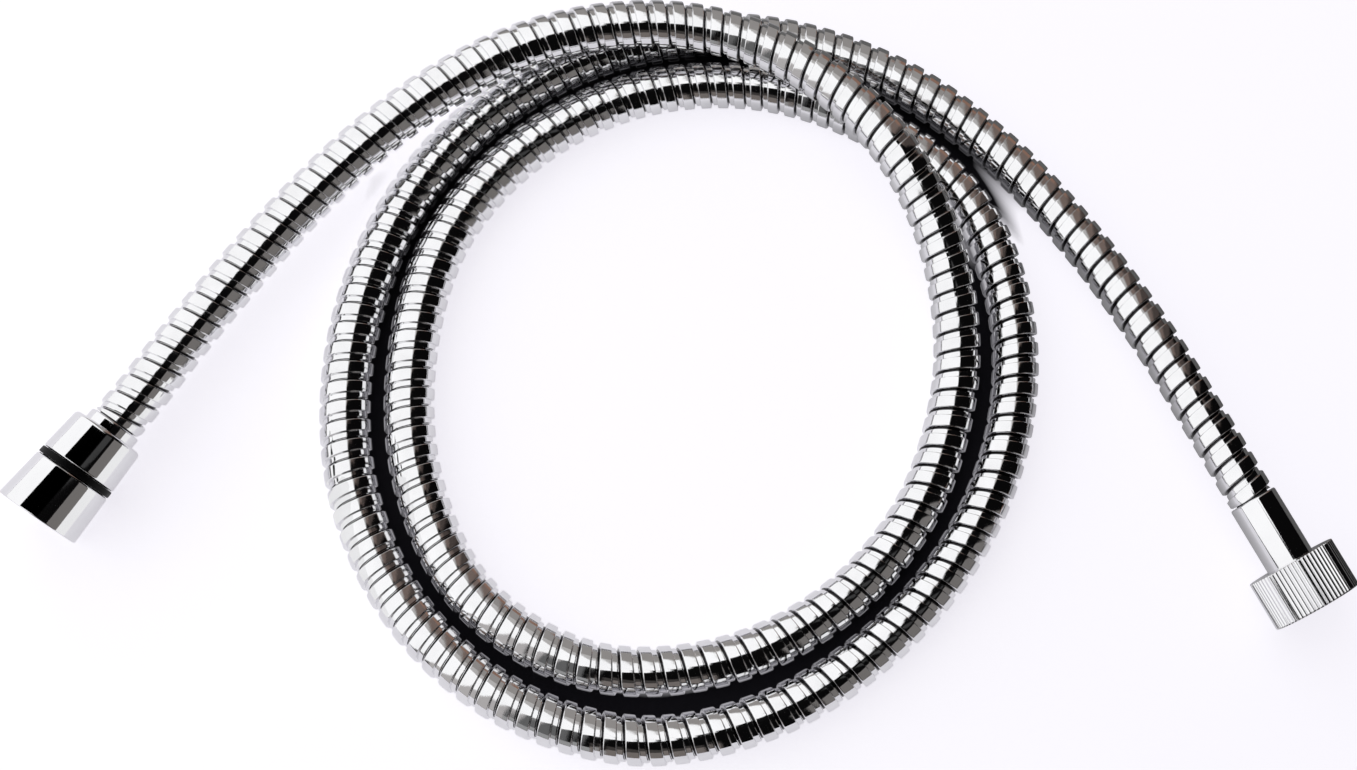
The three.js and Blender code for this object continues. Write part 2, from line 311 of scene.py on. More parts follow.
def rounded(outline, steps=5, support=0.06):
    """The outline's corners, each (along, radius, fillet), turned into arcs that touch both of its sides.
    The arc of fillet f at a corner whose sides open by the angle a starts f / tan(a/2) before it. A point is
    added just outside each end of an arc, so that the flat beside it shades flat. Corners that are all but
    straight are left as they are, and no arc takes more than about half of a side."""
    straight, most_of_side = math.radians(88), 0.48
    outline = np.array(outline, float)
    corner = outline[:, :2]
    to_last = np.roll(corner, 1, axis=0) - corner
    to_next = np.roll(corner, -1, axis=0) - corner
    points = []
    for c, b, a, fillet in zip(corner, to_last, to_next, outline[:, 2]):
        lb, la = np.linalg.norm(b), np.linalg.norm(a)
        b, a = b / lb, a / la
        half = 0.5 * math.acos(float(np.clip(np.dot(a, b), -1, 1)))
        if fillet <= 0 or half > straight:
            points.append(c)
            continue
        reach = min(fillet / math.tan(half), most_of_side * lb, most_of_side * la)
        radius = reach * math.tan(half)
        centre = c + (a + b) / np.linalg.norm(a + b) * (radius / math.sin(half))
        start, stop = c + b * reach, c + a * reach
        u, v = start - centre, stop - centre
        whole = math.acos(float(np.clip(np.dot(u, v) / radius ** 2, -1, 1)))
        share = np.linspace(0, 1, steps + 1)[:, None]
        bend = (np.sin((1 - share) * whole) * u + np.sin(share * whole) * v) / math.sin(whole)
        if lb - reach > 2 * support:
            points.append(start + b * support)
        points.extend(centre + bend)
        if la - reach > 2 * support:
            points.append(stop + a * support)
    return np.array(points)


def turned(name, end, outline, material, angles=96, shape=None, sharp=32):
    """The closed outline of (along, radius) carried once round the end's axis, at so many even angles or at
    the given ones. shape(along, radius, angle) may return other radii for the grid, as flutes and threads
    do. Edges sharper than the last angle, in degrees, are shaded sharp."""
    profile = np.array(outline, float)
    along, radius = profile.T
    area = 0.5 * np.sum(along * np.roll(radius, -1) - np.roll(along, -1) * radius)
    if area < 0:
        profile = profile[::-1]
    if np.isscalar(angles):
        angles = np.linspace(0, TURN, angles, endpoint=False)
    along = np.repeat(profile[:, :1], len(angles), 1)
    radius = np.repeat(profile[:, 1:2], len(angles), 1)
    angle = np.repeat(angles[None], len(profile), 0)
    if shape:
        radius = shape(along, radius, angle)
    quads = grid_quads(len(profile), len(angles))[:, ::-1]
    piece = new_piece(name, end.place(along, radius, angle), quads.tolist(), material)
    piece.data.set_sharp_from_angle(angle=math.radians(sharp))
    return piece


def dress(piece, node, body):
    """The piece stands for the CAD node, whose part is hidden, and moves with its body."""
    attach(piece, body)
    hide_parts(node)
    return piece


# Finishes.

def darker(colour, share):
    """The colour at a share of its brightness."""
    return tuple(share * c for c in colour)


class Shader:
    """A node material for one finish, with short ways to add the nodes of its detail."""

    def __init__(self, name, colour, metallic, roughness):
        self.material = bpy.data.materials.new(name)
        self.material.use_nodes = True
        self.tree = self.material.node_tree
        self.surface = self.tree.nodes["Principled BSDF"]
        self.set("Base Color", (*colour, 1.0))
        self.set("Metallic", metallic)
        self.set("Roughness", roughness)
        self.material.diffuse_color = (*colour, 1.0)

    def set(self, socket, value):
        self.surface.inputs[socket].default_value = value

    def add(self, kind, values=(), **properties):
        """A node with these properties, and its sockets set to the values or linked to the outputs given."""
        node = self.tree.nodes.new(kind)
        for key, value in properties.items():
            setattr(node, key, value)
        for key, value in dict(values).items():
            if isinstance(value, bpy.types.NodeSocket):
                self.tree.links.new(value, node.inputs[key])
            else:
                node.inputs[key].default_value = value
        return node

    def link(self, output, socket):
        self.tree.links.new(output, self.surface.inputs[socket])

    def own_place(self):
        """The piece's own coordinates, in metres."""
        return self.add("ShaderNodeTexCoord").outputs["Object"]

    def noise(self, scale, detail=2.0, vector=None):
        """Noise on the piece's own coordinates, or on the vector given."""
        return self.add("ShaderNodeTexNoise", {
            "Vector": vector or self.own_place(), "Scale": scale, "Detail": detail}).outputs["Fac"]

    def spread(self, value, low, high, start=0.3, stop=0.7):
        """The value's range start to stop, spread over low to high."""
        return self.add("ShaderNodeMapRange", {
            "Value": value, "From Min": start, "From Max": stop, "To Min": low, "To Max": high,
        }).outputs["Result"]

    def math(self, operation, first, second):
        return self.add("ShaderNodeMath", {0: first, 1: second}, operation=operation).outputs[0]

    def mix(self, share, first, second):
        """The first colour where the share is 0, and the second where it is 1."""
        colours = {6: first, 7: second}
        values = {key: value if isinstance(value, bpy.types.NodeSocket) else (*value, 1.0)
                  for key, value in colours.items()}
        return self.add("ShaderNodeMix", {0: share, **values}, data_type="RGBA").outputs[2]

    def bump(self, height, distance, strength=1.0):
        node = self.add("ShaderNodeBump", {"Height": height, "Distance": distance, "Strength": strength})
        self.link(node.outputs["Normal"], "Normal")


def casing_finish(colours):
    """Chromed strip: drawing lines along the strip, faint smears, and painted shade at the bottom of the
    groove between windings.
    """
    s = Shader("hose_chrome", colours.chrome, 1.0, 0.06)
    strip = s.add("ShaderNodeUVMap", uv_map="strip").outputs["UV"]
    drawn = s.add("ShaderNodeMapping", {"Vector": strip, "Scale": (1.2, 46.0, 1.0)}).outputs["Vector"]
    lines = s.noise(1.0, 3.0, drawn)
    smears = s.noise(150.0, 3.0)
    across = s.add("ShaderNodeSeparateXYZ", {"Vector": strip}).outputs["Y"]
    # Painted shade: the groove colour darkens the chrome where the strip's map is in the groove.
    groove = s.spread(across, 1.0, 0.0, *GROOVE_SHADE)
    shade = s.mix(s.spread(smears, 0.0, 1.0), tuple(colours.chrome), darker(colours.chrome, 0.93))
    s.link(s.mix(groove, shade, tuple(colours.groove)), "Base Color")
    s.link(s.spread(smears, 0.035, 0.10), "Roughness")
    s.bump(lines, 0.000006, 0.6)
    return s.material


def fitting_finish(colours):
    """Plated brass: mirror bright, with faint polishing marks and smears."""
    s = Shader("fitting_chrome_plate", colours.chrome, 1.0, 0.05)
    smears = s.noise(90.0, 4.0)
    marks = s.noise(1400.0, 2.0)
    shade = s.mix(s.spread(smears, 0.0, 1.0), tuple(colours.chrome), darker(colours.chrome, 0.95))
    s.link(shade, "Base Color")
    s.link(s.spread(smears, 0.03, 0.075), "Roughness")
    s.bump(marks, 0.000003, 0.5)
    return s.material


def brass_finish(colours):
    """Turned brass: fine tool marks, and a tarnish that comes and goes."""
    s = Shader("turned_brass", colours.brass, 1.0, 0.3)
    tarnish = s.noise(260.0, 4.0)
    marks = s.noise(2600.0, 1.0)
    shade = s.mix(s.spread(tarnish, 0.0, 1.0), tuple(colours.brass), darker(colours.brass, 0.6))
    s.link(shade, "Base Color")
    s.link(s.spread(tarnish, 0.22, 0.42), "Roughness")
    s.bump(marks, 0.00001, 0.6)
    return s.material


def rubber_finish(name, colour, grain):
    """Matt rubber: a fine grain and a trace of moulding dust."""
    s = Shader(name, colour, 0.0, 0.62)
    fine = s.noise(grain, 3.0)
    dust = s.noise(grain * 0.12, 4.0)
    dusted = tuple(min(1.0, 1.9 * c + 0.01) for c in colour)
    s.link(s.mix(s.spread(dust, 0.0, 1.0), tuple(colour), dusted), "Base Color")
    s.link(s.spread(fine, 0.52, 0.74), "Roughness")
    s.bump(fine, 0.00003, 0.7)
    return s.material


def ring_finish(colours):
    """Black plastic ring: satin, with fine turning lines."""
    s = Shader("ring_plastic", colours.ring, 0.0, 0.3)
    s.set("Specular IOR Level", 0.1)
    fine = s.noise(1800.0, 2.0)
    s.link(s.mix(fine, tuple(colours.ring), darker(colours.ring, 2.2)), "Base Color")
    s.link(s.spread(fine, 0.36, 0.48), "Roughness")
    s.bump(fine, 0.000006, 0.5)
    return s.material


# Sizes and colours.

def length(name, description, default):
    """A length property in metres."""
    return bpy.props.FloatProperty(name=name, description=description, default=default, unit="LENGTH",
                                   precision=5)


def colour(name, description, default):
    """A colour property."""
    return bpy.props.FloatVectorProperty(name=name, description=description, default=default,
                                         subtype="COLOR", min=0, max=1)


class HoseSizes(bpy.types.PropertyGroup):
    lip_scale: bpy.props.FloatProperty(name="Lip height", description="Height of the raised lip as a share "
                                       "of its own", default=1.0, min=0.5, max=1.1, subtype="FACTOR")
    round_steps: bpy.props.IntProperty(name="Steps round", description="Faces round the hose in one winding",
                                       default=24, min=12, max=24)
    bore: length("Casing bore", "Inner radius of the casing", 0.00532)
    liner_radius: length("Tube radius", "Outer radius of the rubber tube", 0.0051)
    liner_bore: length("Tube bore", "Inner radius of the rubber tube", 0.00385)


class FittingSizes(bpy.types.PropertyGroup):
    nut_radius: length("Knurled nut radius", "Radius of the knurled nut over its flutes", 0.0136)
    flutes: bpy.props.IntProperty(name="Flutes", description="Straight flutes round the knurled nut",
                                  default=64)
    flute_depth: length("Flute depth", "Depth of each flute", 0.0004)
    thread_minor: length("Thread minor radius", "Radius of the nuts' bores at the thread's crests", 0.009315)
    thread_depth: length("Thread depth", "Depth of the thread in the nuts", 0.00116)
    thread_pitch: length("Thread pitch", "Way along the axis for one turn of the thread", 0.001814)


class HoseColours(bpy.types.PropertyGroup):
    chrome: colour("Chrome", "Colour of the chrome plating", (0.87, 0.87, 0.885))
    # The groove colour is painted shade at the bottom of the spiral groove.
    groove: colour("Groove", "Colour at the bottom of the spiral groove", (0.035, 0.034, 0.036))
    brass: colour("Brass", "Colour of the stems", (0.62, 0.46, 0.20))
    seal: colour("Washers", "Colour of the sealing washers", (0.022, 0.022, 0.023))
    liner: colour("Rubber tube", "Colour of the inner tube", (0.07, 0.072, 0.078))
    ring: colour("Ring", "Colour of the ring on the conical nut", (0.003, 0.003, 0.0035))


class StudioSettings(bpy.types.PropertyGroup):
    floor: colour("Floor", "Colour of the studio floor", (0.52, 0.52, 0.52))
    lift: bpy.props.FloatProperty(name="Floor brightness", description="Brightness added where the camera "
                                  "sees the floor", default=0.78, min=0, max=1)
    mirror_lift: bpy.props.FloatProperty(name="Floor in mirrors", description="Brightness added where metal "
                                         "mirrors the floor", default=0.55, min=0, max=1)
    softbox: bpy.props.FloatProperty(name="Softbox", description="Brightness of the tent's large sheet",
                                     default=1.1, min=0)


# The hose.

def winding_places():
    """Windings counted along the hose against the distance: the sum of distance over local winding length."""
    s = HOSE_LINE.at
    pitch = MM * np.interp(s / HOSE_LINE.length, WINDINGS[:, 0], WINDINGS[:, 1])
    each = 0.5 * (1 / pitch[1:] + 1 / pitch[:-1]) * np.diff(s)
    return s, np.concatenate([[0], np.cumsum(each)])


def casing_mesh(sizes, material):
    """The strip's profile carried along a right-handed helix: row i is at i / steps windings, column k at
    profile point k, and the last column is the first of the row one winding on. Distances past an end stop
    at it, where the radius runs to one value, and the bore is a plain tube that closes the shell."""
    steps = sizes.round_steps
    shares, radii, lean_before, lean_after = np.array(PROFILE).T
    radii = radii * MM
    lip = radii.max()
    radii = lip - (lip - radii) * sizes.lip_scale
    columns = len(shares)
    s_table, count_table = winding_places()
    total = count_table[-1]
    i = np.arange(-steps, math.ceil((total + 1) * steps) + 1)
    count = i[:, None] / steps + shares[None]
    s = np.interp(count, count_table, s_table)
    angle = np.repeat(TURN * (i / steps)[:, None], columns, 1)
    ease = np.clip(np.minimum(s, HOSE_LINE.length - s) / CASING_END_WAY, 0, 1)
    radius = CASING_END_RADIUS + (radii[None] - CASING_END_RADIUS) * ease
    point, forward, out, round_way = HOSE_LINE.around(s, angle)
    points = point + radius[..., None] * out

    # Points at or past an end are one ring there, which the rows share.
    ring_angle = TURN * np.arange(steps) / steps
    rings = []
    for where in (0.0, HOSE_LINE.length):
        centre, _, away, _ = HOSE_LINE.around(np.full(steps, where), ring_angle)
        rings.append(centre + CASING_END_RADIUS * away)
    index = np.arange(count.size).reshape(-1, columns)
    first_ring, last_ring = count.size, count.size + steps
    slot = np.mod(i, steps)[:, None]
    index = np.where(count <= 0, first_ring + slot, index)
    index = np.where(count >= total, last_ring + slot, index)

    # Each quad goes from its own row to the next, and from its own profile point to the next.
    rows = len(i) - steps - 1
    here, there = index[:rows], index[1:rows + 1]
    here_next = np.hstack([here[:, 1:], index[steps:steps + rows, :1]])
    there_next = np.hstack([there[:, 1:], index[steps + 1:steps + 1 + rows, :1]])
    quads = np.stack([here, there, there_next, here_next], -1).reshape(-1, 4)

    row, column = np.meshgrid(np.arange(rows), np.arange(columns), indexing="ij")
    next_row = row + (column == columns - 1) * steps
    next_column = (column + 1) % columns

    def strip_normals(rows_at, columns_at, lean):
        """Outwards by cos(lean), and along the hose by sin(lean), square to the way the strip runs."""
        f, o, w = forward[rows_at, columns_at], out[rows_at, columns_at], round_way[rows_at, columns_at]
        return unit(np.cos(lean)[..., None] * o + np.sin(lean)[..., None] * (f - STRIP_LEAD * w))

    leaving = np.broadcast_to(np.radians(lean_after), row.shape)
    arriving = np.broadcast_to(np.radians(np.roll(lean_before, -1)), row.shape)
    normals = np.stack([strip_normals(row, column, leaving), strip_normals(row + 1, column, leaving),
                        strip_normals(next_row + 1, next_column, arriving),
                        strip_normals(next_row, next_column, arriving)], 2).reshape(-1, 4, 3)

    # The strip's own map: windings along it, and the share of the winding across it.
    begin = i[row] / steps
    end = begin + 1 / steps
    low = np.broadcast_to(shares, row.shape)
    high = np.broadcast_to(np.append(shares[1:], 1.0), row.shape)
    corners = ((begin, low), (end, low), (end, high), (begin, high))
    strip = np.stack([np.stack(corner, -1) for corner in corners], 2).reshape(-1, 4, 2)

    # A quad that touches an end ring keeps its distinct corners, and one that lies in it goes.
    distinct = quads != np.roll(quads, 1, axis=1)
    keep = (distinct.sum(1) >= 3) & ~(quads >= first_ring).all(1)
    quads, normals, strip, distinct = quads[keep], normals[keep], strip[keep], distinct[keep]

    bore_sides = steps // 2
    bore_at = np.linspace(0, HOSE_LINE.length, RINGS_ALONG)
    bore_angle = TURN * np.arange(bore_sides) / bore_sides
    centre, _, away, _ = HOSE_LINE.around(bore_at[:, None], bore_angle[None])
    bore = centre + sizes.bore * away
    bore_start = last_ring + steps
    bore_quads = grid_quads(RINGS_ALONG, bore_sides, closed_rows=False) + bore_start

    # Each end is closed by faces between its ring and the bore's, which has fewer points.
    ratio = steps // bore_sides
    side = np.arange(bore_sides)[:, None]
    outer = (side * ratio + np.arange(ratio + 1)) % steps
    inner = np.hstack([(side + 1) % bore_sides, side])
    last_bore_ring = bore_start + (RINGS_ALONG - 1) * bore_sides
    caps = np.vstack([np.hstack([first_ring + outer, bore_start + inner])[:, ::-1],
                      np.hstack([last_ring + outer, last_bore_ring + inner])])

    # Only the points that faces use go into the mesh.
    every_point = np.vstack([points.reshape(-1, 3), rings[0], rings[1], bore.reshape(-1, 3)])
    used = np.zeros(len(every_point), bool)
    for corners in (quads, bore_quads, caps):
        used[corners] = True
    number = np.cumsum(used) - 1
    faces = [corners[own].tolist() for corners, own in zip(number[quads], distinct)]
    faces += number[bore_quads].tolist() + number[caps].tolist()

    mesh = bpy.data.meshes.new("hose_casing")
    mesh.from_pydata(every_point[used].tolist(), [], faces)
    mesh.polygons.foreach_set("use_smooth", np.ones(len(mesh.polygons), bool))
    mesh.materials.append(material)
    strip, normals = strip[distinct], normals[distinct]
    loop_strip = np.tile(np.float32(BORE_ON_STRIP), (len(mesh.loops), 1))
    loop_strip[:len(strip)] = strip
    mesh.uv_layers.new(name="strip").data.foreach_set("uv", loop_strip.ravel())
    loop_normals = np.zeros((len(mesh.loops), 3), np.float32)
    loop_normals[:len(normals)] = normals
    mesh.normals_split_custom_set(loop_normals.tolist())
    return mesh


def tube_along(name, line, outer, bore, material, sides=20, every=0.005, sharp=40):
    """A hollow tube: the ring of outer radius carried along the line, and the bore's ring carried back,
    joined at both ends."""
    at = np.linspace(0, line.length, int(round(line.length / every)) + 1)
    angle = TURN * np.arange(sides) / sides
    point, _, out, _ = line.around(at[:, None], angle[None])
    rows = np.concatenate([point + outer * out, (point + bore * out)[::-1]])
    piece = new_piece(name, rows, grid_quads(len(rows), sides)[:, ::-1].tolist(), material)
    piece.data.set_sharp_from_angle(angle=math.radians(sharp))
    return piece


class HOSE_OT_casing(bpy.types.Operator):
    """Winds the chromed strip of the casing along the hose's line"""
    bl_idname = "shower_hose.casing"
    bl_label = "Spiral casing"

    def execute(self, context):
        scene = context.scene
        mesh = casing_mesh(scene.hose_sizes, casing_finish(scene.hose_colours))
        piece = bpy.data.objects.new("hose_casing", mesh)
        scene.collection.objects.link(piece)
        dress(piece, "metal_hose", "hose")
        return {"FINISHED"}


class HOSE_OT_tube(bpy.types.Operator):
    """Lays the rubber tube in the casing, over the barbs of both stems"""
    bl_idname = "shower_hose.tube"
    bl_label = "Rubber tube"

    def execute(self, context):
        scene = context.scene
        sizes = scene.hose_sizes
        line = Line(np.vstack([HANDSET_END.tip + HANDSET_END.axis * TUBE_PAST_HANDSET, ROUTE,
                               TAP_END.tip + TAP_END.axis * TUBE_PAST_TAP]))
        finish = rubber_finish("tube_rubber", tuple(scene.hose_colours.liner), 900.0)
        piece = tube_along("hose_tube", line, sizes.liner_radius, sizes.liner_bore, finish)
        dress(piece, "inner_hose", "hose")
        return {"FINISHED"}


# Both ends.

def thread_shape(sizes, start, stop, body=None):
    """Radii of a bore with a right-handed pipe thread: the minor radius plus the depth times a rounded wave
    of one period a pitch, which moves on by one pitch for each turn, and fades in and out at its ends."""
    minor, depth, pitch = sizes.thread_minor / MM, sizes.thread_depth / MM, sizes.thread_pitch / MM

    def shape(along, radius, angle):
        if body:
            radius = body(along, radius, angle)
        inside = np.abs(radius - minor) < 1e-6
        wave = 0.5 - 0.5 * np.cos(TURN * (along / pitch - angle / TURN))
        fade_in = np.clip((along - start) / THREAD_RUN_IN, 0, 1)
        fade_out = np.clip((stop - along) / THREAD_RUN_OUT + THREAD_LEFT_AT_MOUTH, 0, 1)
        return np.where(inside, radius + depth * wave ** THREAD_FULLNESS * fade_in * fade_out, radius)
    return shape


def threaded_bore(shoulder, front, radius, step=0.15):
    """Points along a nut's bore, close enough together to carry the thread."""
    start, stop = shoulder + BORE_FROM_SHOULDER, front - BORE_FROM_MOUTH
    at = np.linspace(start, stop, int(round((stop - start) / step)) + 1)
    return np.stack([at, np.full(len(at), radius)], 1)


def sleeve_outline(shoulder):
    """A cup round the casing's tip, with a thick floor that the stem's neck goes through."""
    end = shoulder - SEAT_GAP
    step = end - SLEEVE_FLOOR
    return rounded([
        (SLEEVE_START, SLEEVE_BORE, 0.1), (step, SLEEVE_BORE, 0), (step, SLEEVE_HOLE, 0),
        (end, SLEEVE_HOLE, 0.1), (end, SLEEVE_RADIUS, 0.3), (SLEEVE_START, SLEEVE_RADIUS, 0.55),
    ])


def spigot_outline(shoulder):
    """A bored stem: the flange in the nut, the neck in the sleeve's floor, and barbs that slope towards the
    hose, one each pitch."""
    step = shoulder - SEAT_GAP - SLEEVE_FLOOR
    rear = shoulder + SEAT_GAP
    neck = step + STEM_NECK_GAP
    outline = [
        (STEM_START, STEM_BORE, 0.15), (rear + PLATE, STEM_BORE, 0.35), (rear + PLATE, FLANGE_RADIUS, 0.3),
        (rear, FLANGE_RADIUS, 0.3), (rear, STEM_NECK, 0.1), (neck, STEM_NECK, 0.15), (neck, BARB_ROOT, 0),
    ]
    for k in range(int((step - BARB_STOP - STEM_START) / BARB_PITCH), 0, -1):
        at = STEM_START + BARB_PITCH * k
        outline += [(at, BARB_ROOT, 0), (at, BARB_TOP, 0.06)]
    outline.append((STEM_START, BARB_ROOT, 0.15))
    return rounded(outline, steps=3)


def seal_outline(shoulder):
    """A flat washer in front of the flange."""
    rear = shoulder + SEAT_GAP + PLATE + SEAT_GAP
    front = rear + PLATE
    return rounded([(rear, WASHER_HOLE, 0.25), (front, WASHER_HOLE, 0.25), (front, FLANGE_RADIUS, 0.35),
                    (rear, FLANGE_RADIUS, 0.35)])


def end_pieces(end, prefix, shoulder, finishes):
    """The crimped sleeve, the barbed stem with its flange and the washer, which both ends have."""
    for piece, node, outline, finish, slot in (
            ("sleeve", "ferrule", sleeve_outline, "fitting", "fitting_chrome"),
            ("spigot", "stem", spigot_outline, "brass", "stem_brass"),
            ("seal", "washer", seal_outline, "seal", "seal_rubber")):
        made = turned(f"{prefix}_{piece}", end, outline(shoulder), finishes[finish])
        dress(made, f"{prefix}_{node}", "hose")


def knurled_nut(sizes, material):
    """Outline of the nut, whose outer radius is level on each land and level again, lower, in the flute
    beside it, with a straight slope on both sides."""
    rear, shoulder, front = TAP_NUT_REAR, TAP_SHOULDER, TAP_NUT_FRONT
    minor, outer = sizes.thread_minor / MM, sizes.nut_radius / MM
    outside = rounded([
        (front, TAP_NUT_MOUTH, 0.1), (front, outer, 0.35), (rear, outer, 0.35), (rear, NUT_NECK, 0.15),
        (shoulder, NUT_NECK, 0.1), (shoulder, minor + SHOULDER_OFF, 0),
    ])
    angles = ((np.arange(sizes.flutes)[:, None] + FLUTE_STEPS[None]) * (TURN / sizes.flutes)).ravel()
    depths = np.tile(sizes.flute_depth / MM * FLUTE_DEPTHS, sizes.flutes)

    def flutes(along, radius, angle):
        share = np.clip((radius - (outer - FLUTE_FADE_FROM)) / FLUTE_FADE, 0, 1)
        return radius - share * depths[None]

    shape = thread_shape(sizes, shoulder + THREAD_FROM_SHOULDER, front - THREAD_FROM_MOUTH, flutes)
    outline = np.vstack([outside, threaded_bore(shoulder, front, minor)])
    return turned("knurled_nut", TAP_END, outline, material, angles, shape, sharp=30)


def cone_radius(along):
    """Outer radius of the conical nut, which grows evenly from its rear to its front."""
    return CONE_REAR + (along - SET_NUT_REAR) / (SET_NUT_FRONT - SET_NUT_REAR) * (CONE_FRONT - CONE_REAR)


def conical_nut(sizes, material):
    """Outline of the nut: a long sleeve that widens to the front, with a groove between two rounded
    shoulders."""
    rear, shoulder, front = SET_NUT_REAR, SET_SHOULDER, SET_NUT_FRONT
    minor = sizes.thread_minor / MM
    floor = cone_radius(RING_GROOVE_FROM) - RING_GROOVE_DEPTH
    outside = rounded([
        (front, SET_NUT_MOUTH, 0.1), (front, cone_radius(front), 0.35),
        (RING_GROOVE_TO, cone_radius(RING_GROOVE_TO), 1.0), (RING_GROOVE_TO, floor, 0.1),
        (RING_GROOVE_FROM, floor, 0.1), (RING_GROOVE_FROM, cone_radius(RING_GROOVE_FROM), 1.0),
        (rear, cone_radius(rear), 1.2), (rear, NUT_NECK, 0.2), (shoulder, NUT_NECK, 0.1),
        (shoulder, minor + SHOULDER_OFF, 0),
    ], steps=8)
    shape = thread_shape(sizes, shoulder + THREAD_FROM_SHOULDER, front - THREAD_FROM_MOUTH)
    outline = np.vstack([outside, threaded_bore(shoulder, front, minor)])
    return turned("conical_nut", HANDSET_END, outline, material, 144, shape, sharp=50)


def conical_nut_ring(material):
    """A plain ring that fills the groove up to the nut's own cone."""
    start, stop = RING_GROOVE_FROM + RING_SIDE_GAP, RING_GROOVE_TO - RING_SIDE_GAP
    floor = cone_radius(RING_GROOVE_FROM) - RING_DEPTH
    top = cone_radius(RING_TOP_AT) + RING_PROUD
    outline = rounded([(start, floor, 0.1), (stop, floor, 0.1), (stop, top, 0.35),
                       (start, top - RING_FALL, 0.35)])
    return turned("conical_nut_ring", HANDSET_END, outline, material, 128)


class HOSE_OT_ends(bpy.types.Operator):
    """Turns the sleeve, stem and washer of each end"""
    bl_idname = "shower_hose.ends"
    bl_label = "Sleeves, stems and washers"

    def execute(self, context):
        colours = context.scene.hose_colours
        finishes = {"fitting": fitting_finish(colours), "brass": brass_finish(colours),
                    "seal": rubber_finish("washer_rubber", tuple(colours.seal), 1500.0)}
        end_pieces(TAP_END, "tap", TAP_SHOULDER, finishes)
        end_pieces(HANDSET_END, "handset", SET_SHOULDER, finishes)
        return {"FINISHED"}


class HOSE_OT_nuts(bpy.types.Operator):
    """Makes the knurled nut, the conical nut and its black ring, with their pipe threads"""
    bl_idname = "shower_hose.nuts"
    bl_label = "Union nuts"

    def execute(self, context):
        colours, sizes = context.scene.hose_colours, context.scene.fitting_sizes
        finish = fitting_finish(colours)
        dress(knurled_nut(sizes, finish), "tap_nut", "tap_coupling")
        dress(conical_nut(sizes, finish), "handset_nut", "handset_coupling")
        dress(conical_nut_ring(ring_finish(colours)), "handset_ring", "handset_coupling")
        return {"FINISHED"}


class HOSE_OT_declare(bpy.types.Operator):
    """Finishes at once and changes nothing in the scene"""
    bl_idname = "shower_hose.declare"
    bl_label = "Free length of the hose"

    def execute(self, context):
        return {"FINISHED"}


# The studio.

def open_sky(places):
    """The share of the light that reaches each place (x, y) of the floor. A short bit of the hose, of length
    d and radius r at the height z, takes off 2*r*d*z / (pi*q*q*q), where q is its distance: its share of the
    sky, weighed as a level surface weighs light, and faded out with distance. All the bits of the hose, the
    sleeve and the nuts are added up, less the length of their sum as arrows that point at the bits, because
    the light comes in from the open side where the hose stands on one side only. What is left is taken from
    one."""
    hose = HOSE_LINE.frames(np.arange(0, HOSE_LINE.length, SHADE_BIT))[0]
    bits = [np.column_stack([hose, np.full(len(hose), HOSE_DIAMETER / 2)])]
    for end, start, stop, radius in END_BODIES:
        reach = MM * np.arange(start, stop, SHADE_BIT / MM)
        bits.append(np.column_stack([end.tip + reach[:, None] * end.axis, np.full(len(reach), MM * radius)]))
    x, y, height, radius = np.vstack(bits).T
    taken = np.zeros(len(places))
    for part in np.array_split(np.arange(len(places)), SHADE_PARTS):
        east, north = x - places[part, :1], y - places[part, 1:]
        level = east ** 2 + north ** 2
        apart = np.sqrt(level + height ** 2)
        near = np.clip((SHADE_REACH - apart) / SHADE_FADE, 0, 1)
        share = 2 * radius * SHADE_BIT * height / (np.pi * apart ** 3) * near
        arrow = share / np.sqrt(level + SHADE_LEAST ** 2)
        taken[part] = share.sum(1) - np.hypot((arrow * east).sum(1), (arrow * north).sum(1))
    return np.clip(1 - taken, 0, 1)


def floor_sheet(material):
    """A level grid, fine near the hose and wide away from it, that keeps the open sky at each point."""
    across, deep = (np.concatenate([-FLOOR_WIDE_LINES[::-1],
                                    np.linspace(-half, half, int(2 * half / FLOOR_FINE_STEP)),
                                    FLOOR_WIDE_LINES]) for half in FLOOR_FINE_HALVES)
    x, y = np.meshgrid(across, deep, indexing="ij")
    points = np.stack([x, y, np.zeros_like(x)], -1)
    quads = grid_quads(len(across), len(deep), False, False)[:, ::-1]
    floor = new_piece("floor", points, quads.tolist(), material)
    share = floor.data.attributes.new("open_sky", "FLOAT", "POINT")
    share.data.foreach_set("value", open_sky(points.reshape(-1, 3)[:, :2]))
    return floor


